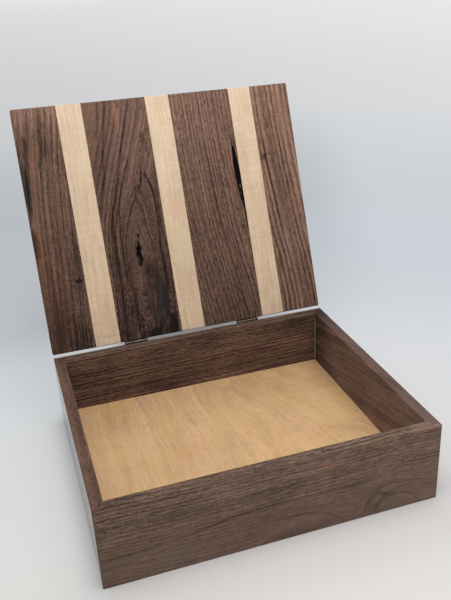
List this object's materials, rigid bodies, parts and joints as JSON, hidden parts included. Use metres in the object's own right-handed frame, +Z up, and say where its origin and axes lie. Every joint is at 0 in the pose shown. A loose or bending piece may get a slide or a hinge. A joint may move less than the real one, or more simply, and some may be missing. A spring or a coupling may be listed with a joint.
{
  "type": "wooden keepsake box",
  "caption": "Shallow wooden box with mitred walls, a let-in plywood floor and a striped two-wood slab lid that stands open on stop hinges",
  "frame": {"origin": "under the middle of the whole object's footprint with the lid standing open, on the surface that the box stands on", "axes": "+X to the right along the front, +Y from the front to the back, +Z up"},
  "size_m": [0.32, 0.3788, 0.3352],
  "materials": {
    "walnut_walls": "oiled walnut, satin, grain level along each wall",
    "walnut_lid": "oiled walnut, satin, grain running from the hinges to the front edge",
    "maple_strips": "oiled maple, satin, fine straight grain",
    "birch_plywood": "oiled birch plywood, blotchy rotary-cut figure",
    "aged_bronze": "dark aged bronze, semi-matt, a little brighter on the worn edges"
  },
  "bodies": {
    "box": {"front_wall": "walnut_walls", "right_wall": "walnut_walls", "back_wall": "walnut_walls", "left_wall": "walnut_walls", "floor_panel": "birch_plywood", "left_hinge_box_leaf": "aged_bronze", "left_hinge_pin": "aged_bronze", "right_hinge_box_leaf": "aged_bronze", "right_hinge_pin": "aged_bronze"},
    "lid": {"lid_board_1": "walnut_lid", "lid_strip_1": "maple_strips", "lid_board_2": "walnut_lid", "lid_strip_2": "maple_strips", "lid_board_3": "walnut_lid", "lid_strip_3": "maple_strips", "lid_board_4": "walnut_lid", "left_hinge_lid_leaf": "aged_bronze", "right_hinge_lid_leaf": "aged_bronze"}
  },
  "joints": [
    {"name": "lid_hinge", "type": "hinge", "parent": "box", "child": "lid", "pos_m": [0, 0.08055, 0.0827], "axis": [1, 0, 0], "range_deg": [0, 111.3]}
  ]
}
